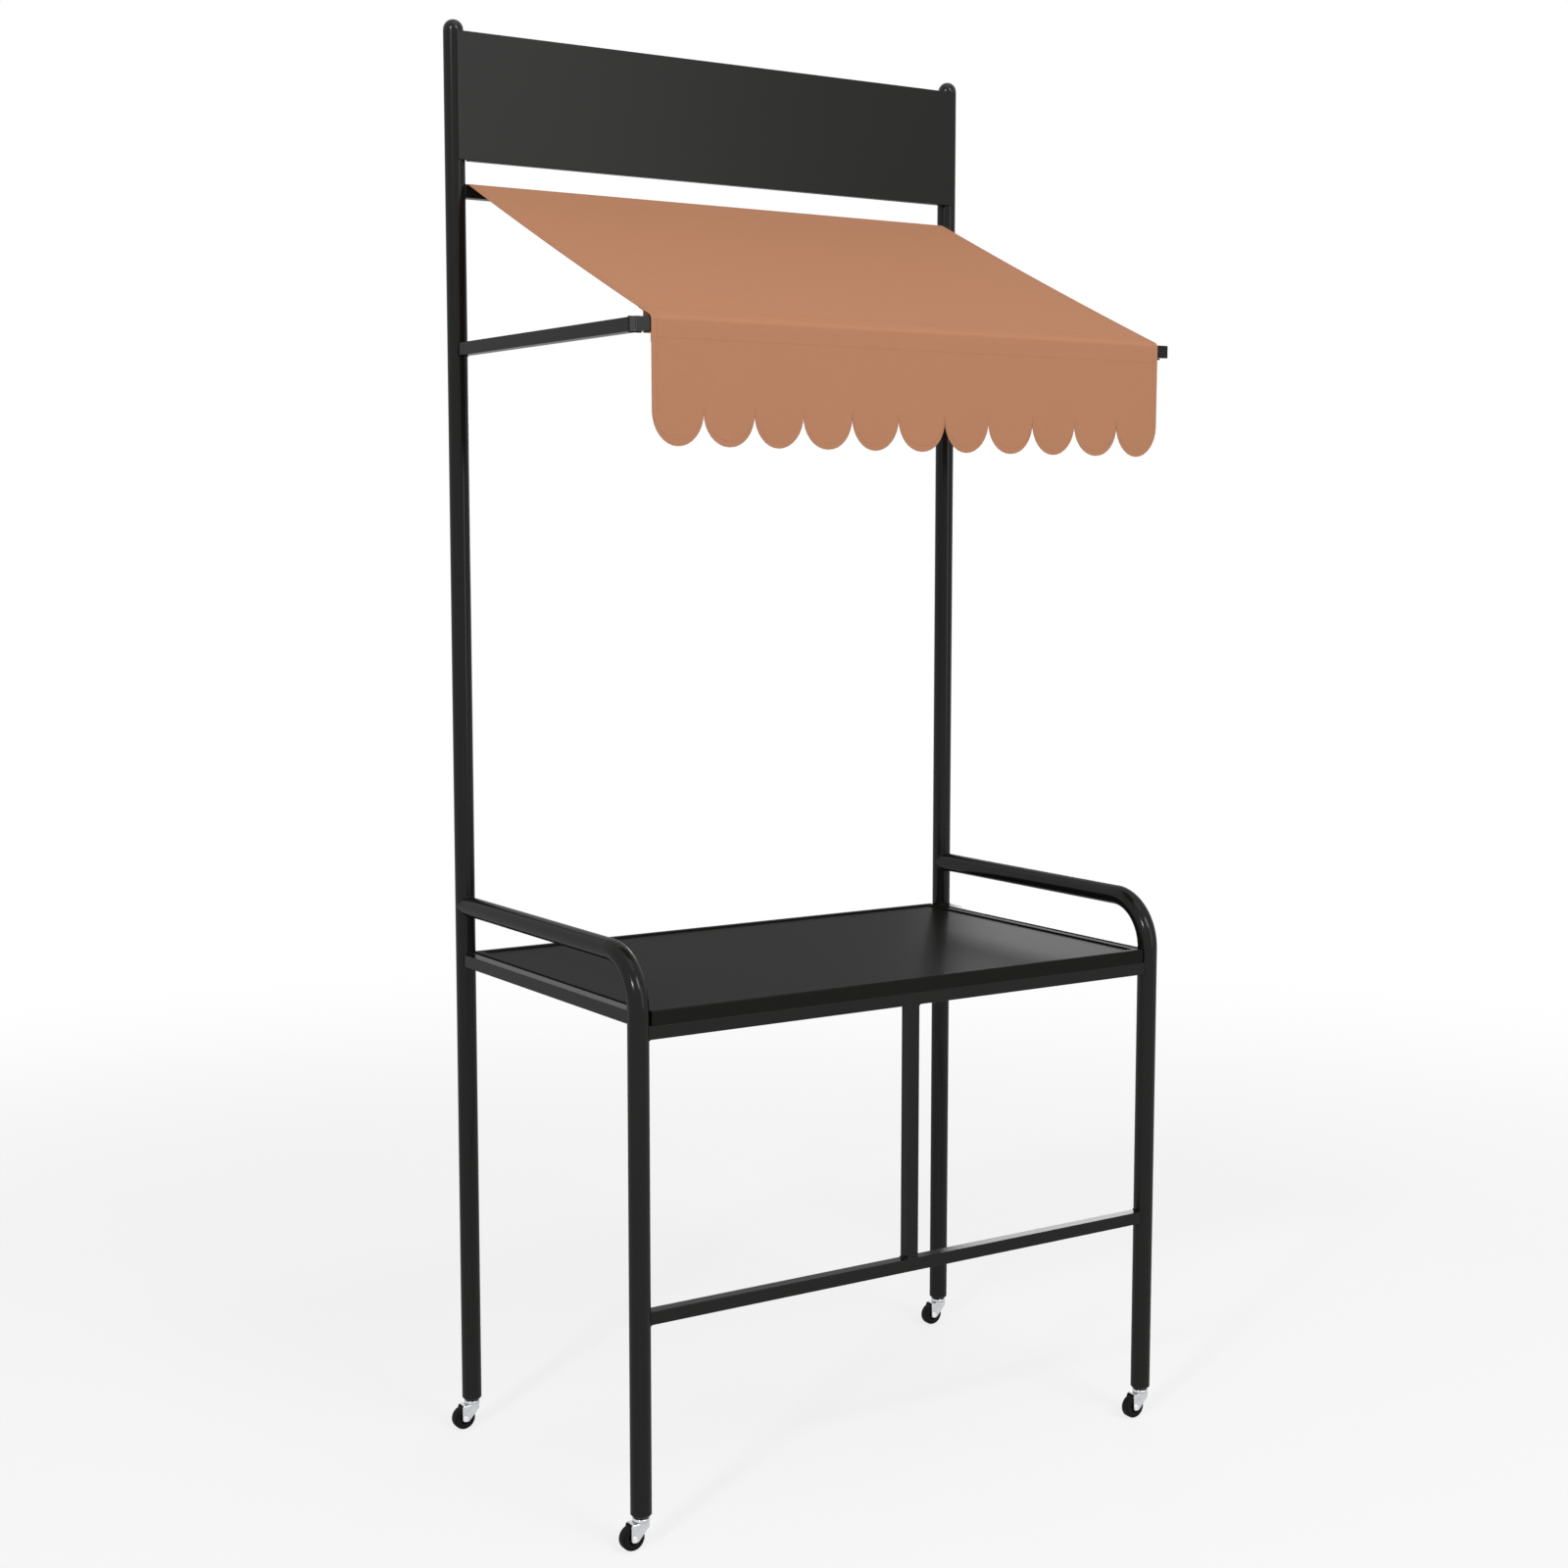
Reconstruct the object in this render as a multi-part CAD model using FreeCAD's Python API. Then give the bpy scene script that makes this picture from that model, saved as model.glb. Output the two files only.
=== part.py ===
import FreeCAD, Part
import math
import os

# A market stall on wheels: a tube frame, a sheet table, a header panel, a
# sloping awning with a scalloped valance, and four swivel casters.
# Millimetres. +Z is up and the customer's side faces -Y. The origin is on the
# floor, midway between the four legs. The casters trail towards -X.

Vec = FreeCAD.Vector
X_AXIS = Vec(1, 0, 0)
Y_AXIS = Vec(0, 1, 0)
Z_AXIS = Vec(0, 0, 1)
FULL_TURN = 360
# Share of the way to the corner at which a cubic curve follows a quarter ellipse.
QUARTER_SHARE = 4 / 3 * (math.sqrt(2) - 1)
SAME_POINT = 0.001
OVERRUN = 5.0  # how far a cutter runs past what it cuts

# Frame: round tubes
leg_spacing_x = 968.0
leg_spacing_y = 568.0
post_top_z = 2265.0
tube_od = 32.0
tube_wall = 1.5
handrail_bend_r = 80.0
handrail_over_table = 79.0
weld_gap = 0.1  # between a coped end and the tube that it is welded to

# Frame: square bars
bar_size = 20.0
bar_wall = 1.5
bar_corner_r = 1.0
stretcher_z = 346.0

# Tabletop: one pressed and folded sheet
table_z = 800.0
table_skirt = 22.0
table_sheet = 1.5
table_edge_r = 2.0
table_corner_r = 3.0
table_lip = 16.0
table_side_gap = 1.0
table_rim = 13.0
table_step = 2.5
table_step_corner_r = 7.0
table_step_edge_r = 0.8
rear_bar_play = 0.3  # between the rear bar and the tray's skirts

# Header panel: one folded sheet on the front of the posts
header_height = 198.3
header_drop = 1.0
header_past_axis = 2.0
header_sheet = 1.5
header_fold_r = 1.2
header_return = 12.0
header_return_gap = 1.0

# Awning frame: the same square bar as under the table
awning_rail_below_header = 47.0
awning_fall = 247.0
awning_reach = 575.0
awning_arm_inset = 3.0
awning_plug_head = 2.0
awning_plug_length = 15.0
awning_plug_play = 0.15
awning_plug_edge_r = 0.6

# Awning cloth
cloth = 1.0
pocket_play = 0.3
canopy_inset = 17.0
rear_pocket_inset = 60.0  # from the canopy's edge to the end of the pocket round the top rail
valance_drop = 168.0
valance_seam = 0.1
valance_lap = 8.0
scallop_count = 11
scallop_depth = 48.0

# Push-in plugs of the post caps and of the caster inserts
plug_play = 0.15
plug_ring_h = 1.0
plug_ring_length = 3.0
plug_ring_count = 3

# Domed post caps
cap_rim = 2.0
cap_plug_length = 16.0
cap_wall = 2.0

# Caster: wheel and axle
wheel_d = 38.0
wheel_width = 15.0
tread_corner_r = 3.5
tyre_bore_d = 24.0
tyre_seat_gap = 0.05
axle_d = 4.0
axle_play = 0.08
axle_head_d = 9.0
axle_head_h = 1.6
axle_head_edge_r = 1.0
hub_boss_d = 9.0
hub_end_play = 0.3
hub_web = 5.0
hub_rim = 2.0
trail = 16.0

# Caster: stamped fork
fork_sheet = 1.5
fork_side_play = 1.0
fork_bend_r = 3.0
fork_over_wheel = 2.3
fork_end_r = 5.5
fork_front_reach = 9.0
fork_front_drop = 6.0
fork_front_corner_r = 5.0
fork_rear_corner_r = 7.0
crown_r = 13.0
rib_width = 4.0
rib_proud = 0.5

# Caster: swivel head, stem and insert
ball_d = 3.0
ball_count = 8
ball_ring_r = 8.6
ball_play = 0.2
race_plate = 2.0
race_r = 13.2
race_wall = 1.3
race_skirt_play = 0.6
race_shoulder_r = 1.7
stem_d = 8.0
stem_play = 0.08
stem_head_d = 13.0
stem_head_t = 2.0
stem_head_play = 0.3
stem_chamfer = 1.0
stem_short = 2.0
insert_flange = 5.0
insert_plug_length = 30.0

# Derived places of the frame
tube_r = tube_od / 2
tube_bore_r = tube_r - tube_wall
leg_x = leg_spacing_x / 2
leg_y = leg_spacing_y / 2
handrail_z = table_z + handrail_over_table
cross_bar_z = table_z - table_skirt - bar_size / 2
side_bar_z = table_z - bar_size / 2
rear_bar_y = leg_y - table_sheet - rear_bar_play
rear_bar_z = table_z - table_step - table_sheet - bar_size / 2
header_top_z = post_top_z - header_drop
header_foot_z = header_top_z - header_height
awning_rail_z = header_foot_z - awning_rail_below_header
awning_bar_z = awning_rail_z - awning_fall
awning_bar_y = leg_y - awning_reach
awning_arm_x = leg_x - awning_arm_inset
awning_bar_end_x = awning_arm_x + bar_size / 2
pocket_inside = bar_size / 2 + pocket_play
pocket_outside = pocket_inside + cloth
pocket_inside_r = bar_corner_r + pocket_play
pocket_outside_r = pocket_inside_r + cloth
canopy_edge_x = leg_x - canopy_inset
awning_pitch = math.atan2(awning_fall, awning_reach)
plug_r = tube_bore_r - plug_play
plug_core_r = plug_r - plug_ring_h

# Derived heights and widths of the caster, from the floor up
axle_z = wheel_d / 2
axle_r = axle_d / 2
crown_under_z = wheel_d + fork_over_wheel
crown_top_z = crown_under_z + fork_sheet
race_under_z = crown_top_z + ball_d + ball_play
race_top_z = race_under_z + race_plate
tube_foot_z = race_top_z + insert_flange
stem_r = stem_d / 2
stem_bore_r = stem_r + stem_play
fork_inside = wheel_width / 2 + fork_side_play
fork_outside = fork_inside + fork_sheet
tyre_bore_r = tyre_bore_d / 2
hub_r = tyre_bore_r - tyre_seat_gap


def rounded_wire(points, radii, closed=True):
    """Straight runs from point to point, with an arc of its radius at each corner."""
    stations = []
    for i, corner in enumerate(points):
        if radii[i] == 0:
            stations.append([corner])
            continue
        back = (points[i - 1] - corner).normalize()
        ahead = (points[(i + 1) % len(points)] - corner).normalize()
        half_angle = back.getAngle(ahead) / 2
        run_off = radii[i] / math.tan(half_angle)
        to_arc = radii[i] / math.sin(half_angle) - radii[i]
        middle = corner + (back + ahead).normalize() * to_arc
        stations.append([corner + back * run_off, middle, corner + ahead * run_off])
    edges = []
    for i, station in enumerate(stations):
        if len(station) > 1:
            edges.append(Part.Arc(*station).toShape())
        if closed or i + 1 < len(stations):
            target = stations[(i + 1) % len(stations)][0]
            if station[-1].distanceToPoint(target) > SAME_POINT:
                edges.append(Part.makeLine(station[-1], target))
    return Part.Wire(edges)


def face_of(outer, *holes):
    return Part.makeFace([outer, *holes], "Part::FaceMakerBullseye")


def fused(shapes):
    """One clean solid from shapes that touch or overlap."""
    return shapes[0].multiFuse(shapes[1:]).removeSplitter()


def turned(outline, radii, base, axis):
    """A solid turned about an axis. Each outline point is (radius, way along the axis)."""
    points = [base + X_AXIS * radius + axis * along for radius, along in outline]
    return face_of(rounded_wire(points, radii)).revolve(base, axis, FULL_TURN)


def rounded_block(half_x, half_y, corner_r, low_z, high_z):
    corners = [Vec(x * half_x, y * half_y, low_z) for x, y in ((-1, -1), (1, -1), (1, 1), (-1, 1))]
    outline = rounded_wire(corners, [corner_r] * len(corners))
    return face_of(outline).extrude(Z_AXIS * (high_z - low_z))


def edges_at_height(solid, height, half_x, half_y):
    """The level edges at a height that lie inside a rectangle round the middle."""
    chosen = []
    for edge in solid.Edges:
        box = edge.BoundBox
        level = abs(box.ZMin - height) < SAME_POINT and abs(box.ZMax - height) < SAME_POINT
        inside = box.XMax < half_x and -box.XMin < half_x and box.YMax < half_y and -box.YMin < half_y
        if level and inside:
            chosen.append(edge)
    return chosen


def swept_rod(path, radius):
    """A round rod along a path of straight runs and arcs."""
    start = path.OrderedVertexes[0].Point
    heading = path.OrderedVertexes[1].Point - start
    ring = Part.Wire(Part.makeCircle(radius, start, heading))
    return path.makePipeShell([ring], True, False)


def swept_tube(path, outer_r, wall):
    return swept_rod(path, outer_r).cut(swept_rod(path, outer_r - wall))


def square_outline(centre, side, across, up, corner_r):
    signs = ((-1, -1), (1, -1), (1, 1), (-1, 1))
    corners = [centre + across * (a * side / 2) + up * (b * side / 2) for a, b in signs]
    return rounded_wire(corners, [corner_r] * len(corners))


def square_tube(start, end, across, up):
    """A square bar with a square bore and rounded corners."""
    outer = square_outline(start, bar_size, across, up, bar_corner_r)
    bore_corner_r = max(bar_corner_r - bar_wall, 0)
    bore = square_outline(start, bar_size - 2 * bar_wall, across, up, bore_corner_r)
    return face_of(outer, bore).extrude(end - start)


# Frame

def post_path(side):
    foot = Vec(side * leg_x, leg_y, tube_foot_z)
    return rounded_wire([foot, Vec(side * leg_x, leg_y, post_top_z)], [0, 0], closed=False)


def front_leg_path(side):
    """From the front caster up, then back over a bend to the rear post's axis."""
    foot = Vec(side * leg_x, -leg_y, tube_foot_z)
    bend = Vec(side * leg_x, -leg_y, handrail_z)
    rear = Vec(side * leg_x, leg_y, handrail_z)
    return rounded_wire([foot, bend, rear], [0, handrail_bend_r, 0], closed=False)


def post_cope(side):
    return swept_rod(post_path(side), tube_r + weld_gap)


def leg_cope(side):
    return swept_rod(front_leg_path(side), tube_r + weld_gap)


def rear_post(side):
    return swept_tube(post_path(side), tube_r, tube_wall)


def front_leg(side):
    return swept_tube(front_leg_path(side), tube_r, tube_wall).cut(post_cope(side))


def side_table_rail(side):
    start = Vec(side * leg_x, -leg_y, side_bar_z)
    end = Vec(side * leg_x, leg_y, side_bar_z)
    return square_tube(start, end, X_AXIS, Z_AXIS).cut(leg_cope(side)).cut(post_cope(side))


def cross_bar(y, z, cope):
    """A level square bar from tube to tube, coped to both."""
    bar = square_tube(Vec(-leg_x, y, z), Vec(leg_x, y, z), Y_AXIS, Z_AXIS)
    return bar.cut(cope(-1)).cut(cope(1))


def centre_strut():
    foot = Vec(0, -leg_y, stretcher_z + bar_size / 2)
    head = Vec(0, -leg_y, cross_bar_z - bar_size / 2)
    return square_tube(foot, head, X_AXIS, Y_AXIS)


def plug(seat, direction, length):
    """A plug for a tube's bore: a core with rings that taper towards its far end."""
    pieces = [Part.makeCylinder(plug_core_r, length, seat, direction)]
    pitch = length / plug_ring_count
    for i in range(plug_ring_count):
        ring_seat = seat + direction * (pitch * i + (pitch - plug_ring_length) / 2)
        pieces.append(Part.makeCone(plug_r, plug_core_r, plug_ring_length, ring_seat, direction))
    return fused(pieces)


def post_cap(side):
    seat = Vec(side * leg_x, leg_y, post_top_z)
    top = cap_rim + tube_r
    dome = turned([(0, 0), (tube_r, 0), (tube_r, top), (0, top)], [0, 0, tube_r, 0], seat, Z_AXIS)
    hollow_r = plug_core_r - cap_wall
    hollow_top = top - cap_wall
    hollow = turned(
        [(0, -cap_plug_length), (hollow_r, -cap_plug_length), (hollow_r, hollow_top), (0, hollow_top)],
        [0, 0, hollow_r, 0], seat, Z_AXIS)
    return fused([dome, plug(seat, Z_AXIS * -1, cap_plug_length)]).cut(hollow)


# Table and header

def tabletop():
    """A tray turned upside down, its middle pressed down: a lip rests on the front bar, and
    its underside rests on the rear bar, which passes through notches in the side skirts."""
    half_x = leg_x - tube_r - table_side_gap
    half_y = leg_y + bar_size / 2
    foot_z = table_z - table_skirt
    inner_x = half_x - table_sheet
    inner_y = half_y - table_sheet
    inner_corner_r = table_corner_r - table_sheet
    field_x = half_x - table_rim
    field_y = half_y - table_rim
    field_z = table_z - table_step
    tray = rounded_block(half_x, half_y, table_corner_r, foot_z, table_z)
    tray = tray.makeFillet(table_edge_r, edges_at_height(tray, table_z, leg_x, leg_spacing_y))
    under = rounded_block(inner_x, inner_y, inner_corner_r, foot_z + table_sheet, table_z - table_sheet)
    window = rounded_block(inner_x, inner_y, inner_corner_r, foot_z, foot_z + table_sheet)
    window = window.cut(Part.makeBox(2 * half_x, table_lip, table_sheet, Vec(-half_x, -half_y, foot_z)))
    pan = rounded_block(field_x + table_sheet, field_y + table_sheet,
                        table_step_corner_r + table_sheet, field_z - table_sheet, table_z)
    field = rounded_block(field_x, field_y, table_step_corner_r, field_z, table_z)
    tray = fused([tray.cut(under).cut(window), pan]).cut(field)
    notch_y = rear_bar_y - bar_size / 2 - rear_bar_play
    notch_top_z = rear_bar_z + bar_size / 2
    tray = tray.cut(Part.makeBox(2 * half_x, inner_y - notch_y, notch_top_z - foot_z,
                                 Vec(-half_x, notch_y, foot_z)))
    step_edges = edges_at_height(tray, table_z, field_x + SAME_POINT, field_y + SAME_POINT)
    return tray.makeFillet(table_step_edge_r, step_edges)


def header_panel():
    """A sheet across the front of the posts, folded back between them at head and foot."""
    half_x = leg_x + header_past_axis
    return_half_x = leg_x - tube_r - header_return_gap
    front_y = leg_y - tube_r - weld_gap - header_sheet
    panel = Part.makeBox(2 * half_x, header_sheet, header_height, Vec(-half_x, front_y, header_foot_z))
    pieces = [panel]
    for low_z in (header_foot_z, header_top_z - header_sheet):
        seat = Vec(-return_half_x, front_y, low_z)
        pieces.append(Part.makeBox(2 * return_half_x, header_sheet + header_return, header_sheet, seat))
    panel = fused(pieces)
    folds = []
    for edge in panel.Edges:
        box = edge.BoundBox
        if box.XLength > 2 * return_half_x and box.YMax < front_y + SAME_POINT:
            folds.append(edge)
    return panel.makeFillet(header_fold_r, folds)


# Awning

def awning_front_frame():
    """The bar across the front of the awning's frame, square cut, with a plug in each end."""
    reach = awning_bar_end_x - awning_plug_head
    start = Vec(-reach, awning_bar_y, awning_bar_z)
    return square_tube(start, Vec(reach, awning_bar_y, awning_bar_z), Y_AXIS, Z_AXIS)


def awning_arm(side):
    """From the back of the front bar to the rear post."""
    front = Vec(side * awning_arm_x, awning_bar_y + bar_size / 2, awning_bar_z)
    rear = Vec(side * awning_arm_x, leg_y, awning_bar_z)
    return square_tube(front, rear, X_AXIS, Z_AXIS).cut(post_cope(side))


def awning_plug(side):
    """A square plug in the front bar's end, with a thin head as wide as the bar."""
    seat = Vec(side * (awning_bar_end_x - awning_plug_head), awning_bar_y, awning_bar_z)
    face_x = side * awning_bar_end_x
    head = face_of(square_outline(seat, bar_size, Y_AXIS, Z_AXIS, bar_corner_r))
    head = head.extrude(X_AXIS * (side * awning_plug_head))
    rim = [edge for edge in head.Edges
           if abs(edge.BoundBox.XMin - face_x) < SAME_POINT and abs(edge.BoundBox.XMax - face_x) < SAME_POINT]
    head = head.makeFillet(awning_plug_edge_r, rim)
    shank_side = bar_size - 2 * (bar_wall + awning_plug_play)
    shank = face_of(square_outline(seat, shank_side, Y_AXIS, Z_AXIS, bar_corner_r))
    return fused([head, shank.extrude(X_AXIS * (side * -awning_plug_length))])


def pocket_corners(centre, half):
    """Corners of a square round a bar: top rear, top front, foot front, foot rear."""
    signs = ((1, 1), (-1, 1), (-1, -1), (1, -1))
    return [centre + Y_AXIS * (a * half) + Z_AXIS * (b * half) for a, b in signs]


def awning_canopy():
    """A taut sheet with a pocket round the top rail and a pocket round the front bar."""
    rail = Vec(-canopy_edge_x, leg_y, awning_rail_z)
    bar = Vec(-canopy_edge_x, awning_bar_y, awning_bar_z)
    rail_top_rear, rail_top_front, rail_foot_front, rail_foot_rear = pocket_corners(rail, pocket_outside)
    bar_top_rear, bar_top_front, bar_foot_front, bar_foot_rear = pocket_corners(bar, pocket_outside)
    depth = cloth / math.cos(awning_pitch)
    under_rail = rail_top_front - Z_AXIS * depth
    over_bar = bar_top_front + Y_AXIS * (depth / math.tan(awning_pitch))
    corners = [rail_top_rear, rail_top_front, bar_top_front, bar_foot_front, bar_foot_rear,
               bar_top_rear, over_bar, under_rail, rail_foot_front, rail_foot_rear]
    sharp = (over_bar, under_rail)
    radii = [0 if corner in sharp else pocket_outside_r for corner in corners]
    bores = []
    for centre in (rail, bar):
        inside = pocket_corners(centre, pocket_inside)
        bores.append(rounded_wire(inside, [pocket_inside_r] * len(inside)))
    section = face_of(rounded_wire(corners, radii), *bores)
    sheet = section.extrude(X_AXIS * (2 * canopy_edge_x))
    trim_depth = 2 * pocket_outside
    for end_x in (-canopy_edge_x, canopy_edge_x - rear_pocket_inset):
        foot = Vec(end_x, rail_foot_front.y, rail_foot_front.z)
        sheet = sheet.cut(Part.makeBox(rear_pocket_inset, trim_depth, trim_depth - depth, foot))
    return sheet


def quarter_curve(start, corner, end):
    """A quarter ellipse from start to end whose tangents meet at the corner."""
    curve = Part.BezierCurve()
    first = start + (corner - start) * QUARTER_SHARE
    second = end + (corner - end) * QUARTER_SHARE
    curve.setPoles([start, first, second, end])
    return curve.toShape()


def valance_outline(half_x, y, top_z, cusp_z, foot_z):
    """The valance seen from the front, with half ellipses along its foot."""
    half_width = half_x / scallop_count
    edges = []
    for i in range(scallop_count):
        left = -half_x + 2 * half_width * i
        middle = left + half_width
        right = middle + half_width
        lowest = Vec(middle, y, foot_z)
        edges.append(quarter_curve(Vec(left, y, cusp_z), Vec(left, y, foot_z), lowest))
        edges.append(quarter_curve(lowest, Vec(right, y, foot_z), Vec(right, y, cusp_z)))
    sides = [Vec(half_x, y, cusp_z), Vec(half_x, y, top_z), Vec(-half_x, y, top_z), Vec(-half_x, y, cusp_z)]
    edges += [Part.makeLine(a, b) for a, b in zip(sides, sides[1:])]
    return Part.Wire(edges)


def awning_valance():
    """A hanging sheet whose top edge laps the canopy's front edge, with scallops at its foot."""
    foot_z = awning_bar_z - valance_drop
    cusp_z = foot_z + scallop_depth
    fold = Vec(-canopy_edge_x, awning_bar_y - pocket_outside, awning_bar_z + pocket_outside)
    up_slope = Vec(0, math.cos(awning_pitch), math.sin(awning_pitch))
    outward = Vec(0, -math.sin(awning_pitch), math.cos(awning_pitch))

    def line_at(offset):
        """The hem, the fold and the lap's end, at an offset from the canopy's outer face."""
        rise = offset / math.cos(awning_pitch) - offset * math.tan(awning_pitch)
        turn = fold - Y_AXIS * offset + Z_AXIS * rise
        return [Vec(turn.x, turn.y, foot_z), turn, fold + up_slope * valance_lap + outward * offset]

    inner = line_at(valance_seam)
    outer = line_at(valance_seam + cloth)
    inner_r = pocket_outside_r + valance_seam
    section = rounded_wire(outer + inner[::-1], [0, inner_r + cloth, 0, 0, inner_r, 0])
    sheet = face_of(section).extrude(X_AXIS * (2 * canopy_edge_x))
    front_y = outer[0].y - OVERRUN
    top_z = outer[-1].z + OVERRUN
    outline = valance_outline(canopy_edge_x, front_y, top_z, cusp_z, foot_z)
    trim = face_of(outline).extrude(Y_AXIS * (valance_lap + 2 * OVERRUN))
    return sheet.common(trim)


# Casters. Each piece is made with its swivel axis on the Z axis.

def caster_insert():
    """The tapered collar under the tube, its plug in the tube and its bore for the stem."""
    collar = Part.makeCone(race_r - race_shoulder_r, tube_r, insert_flange, Vec(0, 0, race_top_z))
    foot = Vec(0, 0, tube_foot_z)
    bore = Part.makeCylinder(stem_bore_r, insert_flange + insert_plug_length, Vec(0, 0, race_top_z))
    return fused([collar, plug(foot, Z_AXIS, insert_plug_length)]).cut(bore)


def caster_stem():
    """The rivet that the fork turns on: a head under the crown and a shank up in the insert."""
    head_top_z = crown_under_z - stem_head_play
    head_foot_z = head_top_z - stem_head_t
    shank_top_z = tube_foot_z + insert_plug_length - stem_short
    outline = [(0, head_foot_z), (stem_head_d / 2, head_foot_z), (stem_head_d / 2, head_top_z),
               (stem_r, head_top_z), (stem_r, shank_top_z - stem_chamfer),
               (stem_r - stem_chamfer, shank_top_z), (0, shank_top_z)]
    return turned(outline, [0] * len(outline), Vec(0, 0, 0), Z_AXIS)


def caster_race_cap():
    """The fixed upper half of the swivel head: a cup over the ring of balls."""
    skirt_foot_z = crown_top_z + race_skirt_play
    outline = [(stem_bore_r, race_under_z), (race_r - race_wall, race_under_z),
               (race_r - race_wall, skirt_foot_z), (race_r, skirt_foot_z),
               (race_r, race_top_z), (stem_bore_r, race_top_z)]
    return turned(outline, [0, 0, 0, 0, race_shoulder_r, 0], Vec(0, 0, 0), Z_AXIS)


def caster_balls():
    centre_z = crown_top_z + (ball_d + ball_play) / 2
    balls = []
    for i in range(ball_count):
        angle = math.radians(FULL_TURN * i / ball_count)
        centre = Vec(ball_ring_r * math.cos(angle), ball_ring_r * math.sin(angle), centre_z)
        balls.append(Part.makeSphere(ball_d / 2, centre))
    return Part.makeCompound(balls)


def fork_channel(front_x, rear_x, foot_z):
    """Sheet folded to a U: the crown on top and a leg down each side of the wheel."""
    def section(half_width, top_z, bend_r):
        corners = [Vec(rear_x, -half_width, foot_z), Vec(rear_x, half_width, foot_z),
                   Vec(rear_x, half_width, top_z), Vec(rear_x, -half_width, top_z)]
        outline = rounded_wire(corners, [0, 0, bend_r, bend_r])
        return face_of(outline).extrude(X_AXIS * (front_x - rear_x))

    inside_bend_r = max(fork_bend_r - fork_sheet, 0)
    outer = section(fork_outside, crown_top_z, fork_bend_r)
    return outer.cut(section(fork_inside, crown_under_z, inside_bend_r))


def caster_fork():
    """A stamped fork: round crown, ribbed legs that taper to the axle, and two sorts of hole."""
    rear_x = -trail - fork_end_r
    foot_z = axle_z - fork_end_r
    side = [Vec(fork_front_reach, -fork_outside, crown_top_z),
            Vec(fork_front_reach, -fork_outside, crown_under_z - fork_front_drop),
            Vec(-trail + fork_end_r, -fork_outside, foot_z),
            Vec(rear_x, -fork_outside, foot_z),
            Vec(rear_x, -fork_outside, crown_top_z)]
    radii = [0, fork_front_corner_r, fork_end_r, fork_end_r, fork_rear_corner_r]
    profile = face_of(rounded_wire(side, radii)).extrude(Y_AXIS * (2 * fork_outside))
    body = fork_channel(fork_front_reach, rear_x, foot_z).common(profile)
    pieces = [body, Part.makeCylinder(crown_r, fork_sheet, Vec(0, 0, crown_under_z))]
    rib_foot = Vec(-trail, 0, axle_z + axle_head_d / 2 + rib_width / 2)
    rib_head = Vec(-rib_width, 0, crown_top_z - fork_bend_r - rib_width / 2)
    for direction in (-1, 1):
        pieces.append(leg_rib(rib_foot, rib_head, direction))
    fork = fused(pieces)
    stem_hole = Part.makeCylinder(stem_bore_r, fork_sheet + 2 * OVERRUN,
                                  Vec(0, 0, crown_under_z - OVERRUN))
    axle_hole = Part.makeCylinder(axle_r + axle_play, 2 * (fork_outside + OVERRUN),
                                  Vec(-trail, -fork_outside - OVERRUN, axle_z), Y_AXIS)
    return fork.cut(stem_hole).cut(axle_hole)


def leg_rib(foot, head, direction):
    """A raised rib with round ends, on the outside of one leg of the fork."""
    run = (head - foot).normalize()
    across = Y_AXIS.cross(run)
    half = rib_width / 2
    corners = [foot - run * half - across * half, head + run * half - across * half,
               head + run * half + across * half, foot - run * half + across * half]
    seat_y = direction * (fork_outside - fork_sheet / 2)
    outline = rounded_wire([corner + Y_AXIS * seat_y for corner in corners], [half] * len(corners))
    return face_of(outline).extrude(Y_AXIS * (direction * (fork_sheet / 2 + rib_proud)))


def caster_axle():
    """A riveted pin across the fork, with a rounded head outside each leg."""
    head_r = axle_head_d / 2
    reach = fork_outside + axle_head_h
    outline = [(0, -reach), (head_r, -reach), (head_r, -fork_outside), (axle_r, -fork_outside),
               (axle_r, fork_outside), (head_r, fork_outside), (head_r, reach), (0, reach)]
    radii = [0, axle_head_edge_r, 0, 0, 0, 0, axle_head_edge_r, 0]
    return turned(outline, radii, Vec(-trail, 0, axle_z), Y_AXIS)


def caster_hub():
    """A moulded hub: a long boss on the axle, a thin web and a rim under the tyre."""
    bore_r = axle_r + axle_play
    boss_r = hub_boss_d / 2
    rim_r = hub_r - hub_rim
    boss = fork_inside - hub_end_play
    web = hub_web / 2
    rim = wheel_width / 2
    half = [(bore_r, boss), (boss_r, boss), (boss_r, web), (rim_r, web), (rim_r, rim), (hub_r, rim)]
    outline = half + [(radius, -along) for radius, along in reversed(half)]
    return turned(outline, [0] * len(outline), Vec(-trail, 0, axle_z), Y_AXIS)


def caster_tyre():
    half = wheel_width / 2
    outline = [(tyre_bore_r, -half), (axle_z, -half), (axle_z, half), (tyre_bore_r, half)]
    radii = [0, tread_corner_r, tread_corner_r, 0]
    return turned(outline, radii, Vec(-trail, 0, axle_z), Y_AXIS)


caster_pieces = {
    "insert": caster_insert,
    "stem": caster_stem,
    "race_cap": caster_race_cap,
    "balls": caster_balls,
    "fork": caster_fork,
    "axle": caster_axle,
    "hub": caster_hub,
    "tyre": caster_tyre,
}
caster_places = {
    "front_left": Vec(-leg_x, -leg_y, 0),
    "front_right": Vec(leg_x, -leg_y, 0),
    "rear_left": Vec(-leg_x, leg_y, 0),
    "rear_right": Vec(leg_x, leg_y, 0),
}

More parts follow.
